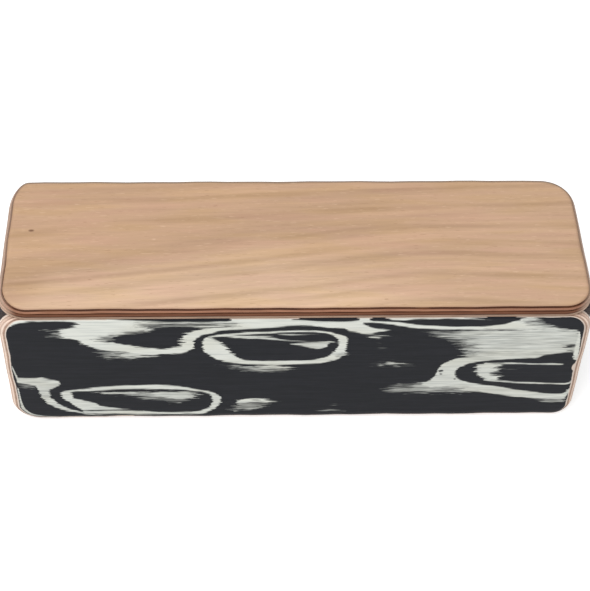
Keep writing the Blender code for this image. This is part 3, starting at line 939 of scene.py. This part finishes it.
def make_base(finishes, film):
    low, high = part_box("base_inner_ply")
    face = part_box("base_veneer")[0].z
    blank = Blank(high.x - low.x, high.y - low.y, BASE_CORNERS, BASE_ARRISES)
    upside_down = Matrix.Translation((0, 0, face)) @ Matrix.Rotation(math.pi, 4, "X")
    make_panel("base", blank, upside_down, finishes, film)


def make_walls(plies, film):
    """Front and rear. The rear has the front's figure turned over."""
    upright = Matrix.Rotation(math.pi / 2, 4, "X")
    turns = {"front": upright, "rear": Matrix.Rotation(math.pi, 4, "Z") @ upright}
    looks = {
        "front": (FRONT_CORNERS, DYED_HEAD, DYED_FOOT, CHIPS),
        "rear": (REAR_CORNERS, (), (), ()),
    }
    for name, (corners, dyed_head, dyed_foot, chips) in looks.items():
        low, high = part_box(name + "_inner_ply")
        blank = Blank(high.x - low.x, high.z - low.z, corners, WALL_ARRISES)
        near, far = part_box(name + "_veneer")
        face = near.y if name == "front" else far.y
        turned_at = None if name == "front" else low.z + high.z
        veneer = marbled_veneer(name + "_marbled_veneer", face, far.y - near.y, turned_at,
                                dyed_head, dyed_foot, chips)
        place = Matrix.Translation((0, face, (low.z + high.z) / 2)) @ turns[name]
        make_panel(name, blank, place, {**plies, "veneer": veneer}, film)


def make_panels(dark_film, pale_film):
    finishes = {layer: ply_edge(layer, *colours) for layer, colours in PLIES.items()}
    wall_plies = {layer: ply_edge("wall_" + layer, *colours) for layer, colours in WALL_PLIES.items()}
    finishes["veneer"] = pale_veneer()
    make_top(finishes, dark_film)
    make_walls(wall_plies, pale_film)
    make_base(finishes, dark_film)


def make_boards():
    """Dark boards that close the two ends."""
    material = black_board()
    for name, side in (("left", -1), ("right", 1)):
        node = name + "_end_plate"
        low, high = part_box(node)
        face = low.x if side < 0 else high.x
        board = Blank(high.z - low.z, high.y - low.y, BOARD_CORNERS, BOARD_ARRISES)
        middle = (low + high) / 2
        turned = Matrix.Rotation(side * math.pi / 2, 4, "Y")
        mesh = board.layer(name + "_end_board", 0, high.x - low.x)
        mesh.transform(Matrix.Translation((face, middle.y, middle.z)) @ turned)
        piece = add_piece(name + "_end_board", mesh, material)
        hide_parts(node)


def add_joint(name, low, high, material):
    """Sheet of glue that fills a joint between two corners, with a wavering outline."""
    middle = (Vector(low) + Vector(high)) / 2
    reach = Vector(high) - Vector(low)
    thin = min(range(3), key=lambda axis: reach[axis])
    turn, width, depth = (
        (Matrix.Rotation(math.pi / 2, 4, "Y"), reach.z, reach.y),
        (Matrix.Rotation(-math.pi / 2, 4, "X"), reach.x, reach.z),
        (Matrix.Identity(4), reach.x, reach.y),
    )[thin]
    sheet = Blank(width, depth, JOINT_CORNERS, JOINT_ARRISES)
    thickness = reach[thin] - 2 * FILM_SLACK
    mesh = sheet.layer(name, 0, thickness, JOINT_RECESS, JOINT_WAVER)
    mesh.transform(Matrix.Translation(middle) @ turn @ Matrix.Translation((0, 0, thickness / 2)))
    add_piece(name, mesh, material)


def make_joints(pale, dark):
    """Glue between the panels, and round the end boards."""
    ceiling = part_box("top_inner_ply")[0].z
    base_low, base_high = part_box("base_inner_ply")
    floor = base_high.z
    reach = base_high.x - max(TOP_CORNERS)
    inner = {"front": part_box("front_inner_ply")[1].y, "rear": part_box("rear_inner_ply")[0].y}
    for name, side in (("front", -1), ("rear", 1)):
        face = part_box(name + "_veneer")[0 if side < 0 else 1].y
        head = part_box(name + "_inner_ply")[1].z
        first, second = sorted((face - side * JOINT_MARGIN, inner[name]))
        add_joint(name + "_head_glue", (-reach, first, head), (reach, second, ceiling), pale)
        edge = base_low.y if side < 0 else base_high.y
        first, second = sorted((edge, inner[name]))
        add_joint(name + "_base_glue", (-reach, first, JOINT_MARGIN), (reach, second, floor), pale)
    for name in ("left", "right"):
        low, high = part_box(name + "_end_plate")
        sheets = {
            "top": ((low.x, low.y, high.z), (high.x, high.y, ceiling)),
            "base": ((low.x, low.y, floor), (high.x, high.y, low.z)),
            "front": ((low.x, inner["front"], low.z), (high.x, low.y, high.z)),
            "rear": ((low.x, high.y, low.z), (high.x, inner["rear"], high.z)),
        }
        for side, (first, second) in sheets.items():
            add_joint(name + "_board_" + side + "_glue", first, second, dark)


def make_shot():
    """Loose steel shot, each ball slightly flat where it broke from its sprue."""
    low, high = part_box("pellet_01")
    radius = (high.x - low.x) / 2
    shape = bmesh.new()
    bmesh.ops.create_icosphere(shape, subdivisions=SHOT_FINENESS, radius=radius)
    for vert in shape.verts:
        vert.co.z = min(vert.co.z, SHOT_FLAT * radius)
    mesh = bpy.data.meshes.new("shot")
    shape.to_mesh(mesh)
    shape.free()
    mesh.shade_smooth()
    mesh.materials.append(shot_steel())
    for node in sorted(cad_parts):
        if node.startswith("pellet_"):
            low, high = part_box(node)
            ball = bpy.data.objects.new(node.replace("pellet", "shot"), mesh)
            ball.location = (low + high) / 2
            bpy.context.scene.collection.objects.link(ball)
            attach(ball, node)
            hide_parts(node)


def seen_directly(nodes, links, seen, unseen):
    """seen for rays from the camera, and through gloss and glass, and unseen for the rest."""
    path = nodes.new("ShaderNodeLightPath")
    total = path.outputs["Is Camera Ray"]
    for kind in ("Is Glossy Ray", "Is Transmission Ray"):
        either = nodes.new("ShaderNodeMath")
        either.operation = "MAXIMUM"
        links.new(total, either.inputs[0])
        links.new(path.outputs[kind], either.inputs[1])
        total = either.outputs[0]
    level = nodes.new("ShaderNodeMapRange")
    links.new(total, level.inputs["Value"])
    level.inputs["To Min"].default_value = unseen
    level.inputs["To Max"].default_value = seen
    return level.outputs[0]


def make_floor():
    """Pale floor that keeps the shadow, and glows a little where it is seen."""
    floor_mesh = bpy.data.meshes.new("floor")
    half = FLOOR_SIZE / 2
    corners = [(x * half, y * half, -FLOOR_GAP) for x, y in ((-1, -1), (1, -1), (1, 1), (-1, 1))]
    floor_mesh.from_pydata(corners, [], [(0, 1, 2, 3)])
    floor = bpy.data.objects.new("floor", floor_mesh)
    bpy.context.scene.collection.objects.link(floor)
    material = bpy.data.materials.new("pale_floor")
    material.use_nodes = True
    nodes = material.node_tree.nodes
    links = material.node_tree.links
    nodes.remove(nodes["Principled BSDF"])
    diffuse = nodes.new("ShaderNodeBsdfDiffuse")
    diffuse.inputs["Color"].default_value = (FLOOR_SHADE, FLOOR_SHADE, FLOOR_SHADE, 1)
    glow = nodes.new("ShaderNodeEmission")
    added = nodes.new("ShaderNodeAddShader")
    links.new(seen_directly(nodes, links, FLOOR_GLOW, 0), glow.inputs["Strength"])
    links.new(diffuse.outputs[0], added.inputs[0])
    links.new(glow.outputs[0], added.inputs[1])
    links.new(added.outputs[0], nodes["Material Output"].inputs["Surface"])
    floor_mesh.materials.append(material)


def make_world():
    """Even sky, white where it is seen."""
    world = bpy.data.worlds.new("studio")
    world.use_nodes = True
    nodes = world.node_tree.nodes
    links = world.node_tree.links
    background = nodes["Background"]
    background.inputs["Color"].default_value = (1, 1, 1, 1)
    links.new(seen_directly(nodes, links, 1, SKY_LEVEL), background.inputs["Strength"])
    bpy.context.scene.world = world


def make_lamp(name, place, target, size, power):
    """Round area lamp at a place, turned to a target."""
    lamp = bpy.data.lights.new(name, "AREA")
    lamp.shape = "DISK"
    lamp.size = size
    lamp.energy = power
    item = bpy.data.objects.new(name, lamp)
    item.location = place
    item.rotation_euler = (Vector(target) - Vector(place)).to_track_quat("-Z", "Y").to_euler()
    bpy.context.scene.collection.objects.link(item)


def make_camera():
    """Camera from its distance, lift, yaw and roll, aimed beside the middle of the box."""
    low, high = CAD_BOX
    lift, yaw, roll = CAMERA_LIFT, CAMERA_YAW, CAMERA_ROLL
    ahead = Vector((math.sin(yaw) * math.cos(lift), math.cos(yaw) * math.cos(lift), -math.sin(lift)))
    level = Vector((math.cos(yaw), -math.sin(yaw), 0))
    above = level.cross(ahead)
    right = math.cos(roll) * level + math.sin(roll) * above
    up = math.cos(roll) * above - math.sin(roll) * level
    data = bpy.data.cameras.new("camera")
    data.sensor_width = SENSOR
    data.lens = FOCAL_LENGTH / IMAGE_HEIGHT * SENSOR
    data.clip_start = NEAR_CLIP
    camera = bpy.data.objects.new("camera", data)
    place = (low + high) / 2 - AIM_RIGHT * right - AIM_UP * up - CAMERA_DISTANCE * ahead
    camera.matrix_world = Matrix.Translation(place) @ Matrix((right, up, -ahead)).transposed().to_4x4()
    bpy.context.scene.collection.objects.link(camera)
    bpy.context.scene.camera = camera


bpy.context.scene.view_settings.view_transform = "Standard"
glues = {name: glue(name, *colours) for name, colours in GLUES.items()}
make_panels(glues["dark_ply_glue"], glues["pale_ply_glue"])
make_boards()
make_joints(glues["panel_glue_and_shade"], glues["board_glue"])
make_shot()
make_floor()
make_world()
make_lamp("key", KEY_PLACE, KEY_TARGET, KEY_SIZE, KEY_POWER)
make_camera()
